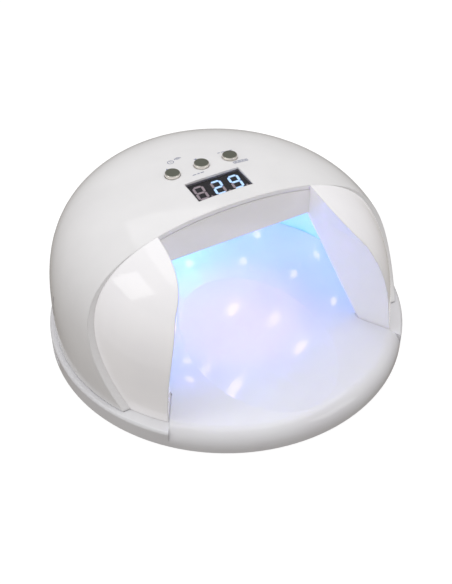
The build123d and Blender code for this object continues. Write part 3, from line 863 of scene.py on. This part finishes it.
@dataclass
class LampArray:
    """Lenses, their boards, and the ring moulded round each hole but the one at the very top."""
    radius: float = 86.0
    height: float = 75.0
    plan: float = 2.0               # power of the radius, p
    rise: float = 6.0               # power of the height, q
    lean: float = 8.0               # how far back the top's centre is, mm
    ring_radius: float = 6.0
    ring_wire: float = 0.45
    ring_flatness: float = 0.5      # height of the wire as a share of its width
    ring_steps: int = 40
    wire_steps: int = 8
    upright: float = 0.9            # normals steeper than this are crossed with the x axis
    circles: tuple[LampCircle, ...] = (
        LampCircle(5, 0.0, 180.0, radius=22.0), LampCircle(8, -8.0, 188.0, radius=46.0),
        LampCircle(8, 0.0, 180.0, z=50.0), LampCircle(8, -12.0, 192.0, z=27.0))

    def seats(self) -> tuple[np.ndarray, np.ndarray]:
        """Points on the chamber's surface under the lamps, and its outward normals.

        The surface is (distance from the leaning centre / R)^p + (z / H)^q = 1.

        Returns:
            Points in mm and unit normals.
        """
        turns, heights = [], []
        for circle in self.circles:
            turns.append(np.radians(np.linspace(circle.first, circle.last, circle.count)))
            z = circle.z
            if z is None:
                inner = (circle.radius / self.radius) ** self.plan
                z = self.height * (1.0 - inner) ** (1.0 / self.rise)
            heights.append(np.full(circle.count, z))
        turn, z = np.concatenate(turns), np.concatenate(heights)
        share = z / self.height
        r = self.radius * (1.0 - share ** self.rise) ** (1.0 / self.plan)
        side = self.plan / self.radius * (r / self.radius) ** (self.plan - 1.0)
        up = self.rise / self.height * share ** (self.rise - 1.0)
        tilt = 2.0 * self.lean / self.height * share
        points = np.column_stack([r * np.cos(turn), self.lean * share ** 2 + r * np.sin(turn), z])
        normals = np.column_stack([side * np.cos(turn), side * np.sin(turn),
                                   up - side * np.sin(turn) * tilt])
        return points, normals / np.linalg.norm(normals, axis=1, keepdims=True)

    def build(self) -> None:
        """Make the rings as tori lying on the chamber's surface, and dress the lamps."""
        points, normals = self.seats()
        steep = np.abs(normals[:, 2:3]) > self.upright
        helper = np.where(steep, [[1.0, 0.0, 0.0]], [[0.0, 0.0, 1.0]])
        first = np.cross(normals, helper)
        first /= np.linalg.norm(first, axis=1, keepdims=True)
        second = np.cross(normals, first)
        u = np.linspace(0.0, FULL_TURN, self.ring_steps + 1)[:-1]
        v = np.linspace(0.0, FULL_TURN, self.wire_steps + 1)[:-1]
        spoke = (first[:, None] * np.cos(u)[None, :, None]
                 + second[:, None] * np.sin(u)[None, :, None])
        reach = self.ring_radius + self.ring_wire * np.cos(v)
        rise = self.ring_wire * np.sin(v) * self.ring_flatness
        tori = (points[:, None, None] + spoke[:, :, None] * reach[None, None, :, None]
                + normals[:, None, None] * rise[None, None, :, None])
        size = self.ring_steps * self.wire_steps
        quads = grid_faces(self.ring_steps + 1, self.wire_steps, wrap=True) % size
        surface = join_surfaces([(torus.reshape(-1, 3), quads) for torus in tori])
        # the rings share the chamber's painted glow
        make_piece("lamp_rings", surface, ReflectorFinish("white_abs_lamp_rings_painted_glow").build(),
                   Body.HOUSING)
        dress("led_lenses", LENS.build())
        dress("led_boards", METAL_CORE.build())


@dataclass
class BasePlate:
    """Round tray with the hand rest, its feet, magnets and grip ribs."""
    grip_angles: tuple[float, ...] = (12.0, 168.0)
    rib_count: int = 5
    rib_pitch: float = 4.6
    rib_radius: float = 0.55
    rib_low: float = 3.9
    rib_high: float = 7.9
    rib_inset: float = 1.5      # from the plate's edge to the middle of a rib
    rib_power: int = 8          # how square the ends of a rib are
    rib_rows: int = 15
    rib_sides: int = 12

    def build(self) -> None:
        """Dress the plate and add the finger grips' upright ribs.

        A rib is a surface of revolution: radius (1 - |t|^n)^(1/2) for t from end to end.
        """
        dress("base_plate", ABS_BASE.build())
        dress("base_feet", RUBBER_FOOT.build())
        dress("base_magnets", NICKEL.build())
        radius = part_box("base_plate")[1].x / MM - self.rib_inset
        u = np.linspace(0.0, FULL_TURN, self.rib_sides + 1)[:-1]
        t = np.linspace(-1.0, 1.0, self.rib_rows)
        swell = self.rib_radius * np.sqrt(np.clip(1.0 - np.abs(t) ** self.rib_power, 0.0, 1.0))
        z = (self.rib_low + self.rib_high) / 2.0 + t * (self.rib_high - self.rib_low) / 2.0
        quads = grid_faces(self.rib_rows, self.rib_sides, wrap=True)
        ribs = []
        for middle in self.grip_angles:
            for i in range(self.rib_count):
                step = (i - (self.rib_count - 1) / 2.0) * self.rib_pitch / radius
                turn = math.radians(middle) + step
                x = radius * math.cos(turn) + swell[:, None] * np.cos(u)
                y = radius * math.sin(turn) + swell[:, None] * np.sin(u)
                rib = np.stack([x, y, np.broadcast_to(z[:, None], x.shape)], -1)
                ribs.append((rib.reshape(-1, 3), quads))
        make_piece("grip_ribs", join_surfaces(ribs), ABS_BASE.build(), Body.BASE)


@dataclass
class Housing:
    """Hood, front frame and chamber, with what they hold."""
    finishes: dict[str, Finish] = field(default_factory=lambda: {
        "hood_shell": ABS_HOOD, "front_frame": ABS_FRAME_PAINTED_GLOW, "keeper_discs": ZINC,
        "housing_screws": ZINC, "board_screws": ZINC, "control_board": FR4,
        "board_parts": EPOXY, "power_inlet": NYLON, "inlet_pin": BRASS, "inlet_nut": BRASS,
        "supply_lead": PVC, "hand_sensor": IR_ACRYLIC})

    def build(self) -> None:
        """Dress each node of the housing."""
        for node, finish in self.finishes.items():
            dress(node, finish.build())
        # the chamber carries a painted cyan and violet glow in place of the lamps' light falling on
        # it
        dress("reflector", ReflectorFinish().build())


@dataclass(frozen=True)
class SoftBox:
    """Square soft light: where it stands and what it points at, metres, and its power, watts."""
    name: str
    place: Point
    aim: Point
    size: float
    watts: float


@dataclass
class Studio:
    """Pale floor, soft lights and the camera; sizes in metres."""
    eye: Point = (-0.21587, -0.38372, 0.41350)
    aim: Point = (0.0, 0.00033, 0.02112)
    lens_mm: float = 61.83
    sensor_mm: float = 36.0
    horizon: str = "#969089"
    zenith: str = "#EDEDEF"
    sky_change: tuple[float, float] = (-0.30, 0.80)
    sky_strength: float = 0.80
    floor_colours: tuple[str, str] = ("#6A6A6A", "#666666")
    floor_patch_mm: float = 300.0
    floor_roughness: float = 0.9
    floor_glow: float = 0.92
    floor_reach: tuple[float, float] = (0.001, 4.0)
    floor_bend: float = 1.6
    floor_climb: float = 0.6
    floor_rings: int = 49
    floor_spokes: int = 64
    soft_boxes: tuple[SoftBox, ...] = (
        SoftBox("overhead", (0.1, 0.25, 1.1), (0.0, 0.0, 0.05), 1.0, 3.6),
        SoftBox("right_front", (0.75, -0.95, 0.85), (0.0, 0.0, 0.05), 0.6, 1.5),
        SoftBox("left_fill", (-1.2, -0.25, 0.22), (0.0, 0.0, 0.03), 1.2, 1.5),
        SoftBox("left_window", (-0.62, 0.15, 0.68), (-0.06, -0.03, 0.07), 0.30, 0.55))
    wall_place: Point = (0.0, 0.050, 0.034)
    wall_radius: float = 0.010
    wall_watts: float = 0.011
    wall_colour: str = "#3CDCFF"
    pool_place: Point = (0.0, -0.006, 0.064)
    pool_radius: float = 0.004
    pool_degrees: float = 94.0
    pool_blend: float = 0.5
    pool_watts: float = 0.046
    pool_colour: str = "#D89CFF"

    def face(self, stand: bpy.types.Object, place: Point, aim: Point) -> None:
        """Stand a light or camera at one place, upright and facing another."""
        stand.location = place
        stand.rotation_euler = (Vector(aim) - Vector(place)).to_track_quat("-Z", "Y").to_euler()

    def floor(self) -> None:
        """Round sweep: flat to a bend, past which height grows with the square of the distance."""
        reach = np.linspace(*self.floor_reach, self.floor_rings)
        turn = np.linspace(0.0, FULL_TURN, self.floor_spokes + 1)[:-1]
        grid_r, grid_t = np.meshgrid(reach, turn, indexing="ij")
        grid_z = self.floor_climb * np.clip(grid_r - self.floor_bend, 0.0, None) ** 2
        vertices = np.stack([grid_r * np.cos(grid_t), grid_r * np.sin(grid_t), grid_z], -1)
        quads = grid_faces(self.floor_rings, self.floor_spokes, wrap=True)
        material, tree, place = start_material("white_paper_sweep")
        colour = mottle(tree, place, self.floor_patch_mm, *map(linear, self.floor_colours))
        shader = add_node(tree, "ShaderNodeBsdfPrincipled",
                          {"Roughness": self.floor_roughness, "Emission Color": linear("#FFFFFF"),
                           "Emission Strength": self.floor_glow}, {"Base Color": colour})
        end_material(tree, shader.outputs["BSDF"])
        floor = put_surface("studio_floor", (vertices, quads), material)
        floor.visible_diffuse = False
        floor.visible_glossy = False
        floor.visible_shadow = False

    def soft_box(self, box: SoftBox) -> None:
        """Square soft light.

        Args:
            box: its values.
        """
        data = bpy.data.lights.new(box.name, "AREA")
        data.shape, data.size, data.energy = "SQUARE", box.size, box.watts
        self.face(put(box.name, data), box.place, box.aim)

    def lamp_light(self, name: str, data: bpy.types.Light, place: Point, radius: float,
                   watts: float, colour: str) -> None:
        """Soft light inside the chamber, which moves with the housing.

        Args:
            name: the light's name.
            data: the light, as yet without a size or power.
            place: its centre, metres.
            radius: its radius, metres.
            watts: its power.
            colour: sRGB hex.
        """
        data.shadow_soft_size, data.energy = radius, watts
        data.color = linear(colour)[:3]
        lamp = put(name, data)
        lamp.location = place
        lamp.parent = frame["bodies"][Body.HOUSING.value]

    def glow(self) -> None:
        """Cyan light on the chamber's wall, and a violet cone down from its ceiling."""
        wall = bpy.data.lights.new("cyan_wall", "POINT")
        self.lamp_light("cyan_wall", wall, self.wall_place, self.wall_radius, self.wall_watts,
                        self.wall_colour)
        pool = bpy.data.lights.new("violet_pool", "SPOT")
        pool.spot_size, pool.spot_blend = math.radians(self.pool_degrees), self.pool_blend
        self.lamp_light("violet_pool", pool, self.pool_place, self.pool_radius, self.pool_watts,
                        self.pool_colour)

    def sky(self) -> None:
        """Room light that pales from the horizon up."""
        world = bpy.data.worlds.new("soft_room")
        world.use_nodes = True
        tree = world.node_tree
        place = add_node(tree, "ShaderNodeTexCoord").outputs["Generated"]
        split = add_node(tree, "ShaderNodeSeparateXYZ", links={"Vector": place})
        climb = add_node(tree, "ShaderNodeMapRange",
                         {"From Min": self.sky_change[0], "From Max": self.sky_change[1]},
                         {"Value": split.outputs["Z"]})
        ramp = add_node(tree, "ShaderNodeValToRGB", links={"Fac": climb.outputs["Result"]})
        ramp.color_ramp.elements[0].color = linear(self.horizon)
        ramp.color_ramp.elements[1].color = linear(self.zenith)
        background = tree.nodes["Background"]
        tree.links.new(ramp.outputs["Color"], background.inputs["Color"])
        background.inputs["Strength"].default_value = self.sky_strength
        bpy.context.scene.world = world

    def camera(self) -> None:
        """Camera at eye height of someone about to put a hand in."""
        data = bpy.data.cameras.new("view")
        data.lens, data.sensor_width = self.lens_mm, self.sensor_mm
        camera = put("view", data)
        self.face(camera, self.eye, self.aim)
        bpy.context.scene.camera = camera

    def build(self) -> None:
        """Set up the whole studio."""
        self.floor()
        self.sky()
        for box in self.soft_boxes:
            self.soft_box(box)
        self.glow()
        self.camera()
        bpy.context.scene.view_settings.view_transform = "Standard"


def main() -> None:
    """Build the lamp and the studio, piece by piece."""
    logging.basicConfig(level=logging.INFO, format="%(name)s %(message)s")
    for part in (BasePlate(), Housing(), LampArray(), TimerDisplay(), KeyRow(), PrintedMarks(),
                 Studio()):
        LOG.info("building %s", type(part).__name__)
        part.build()


if __name__ == "__main__":
    main()
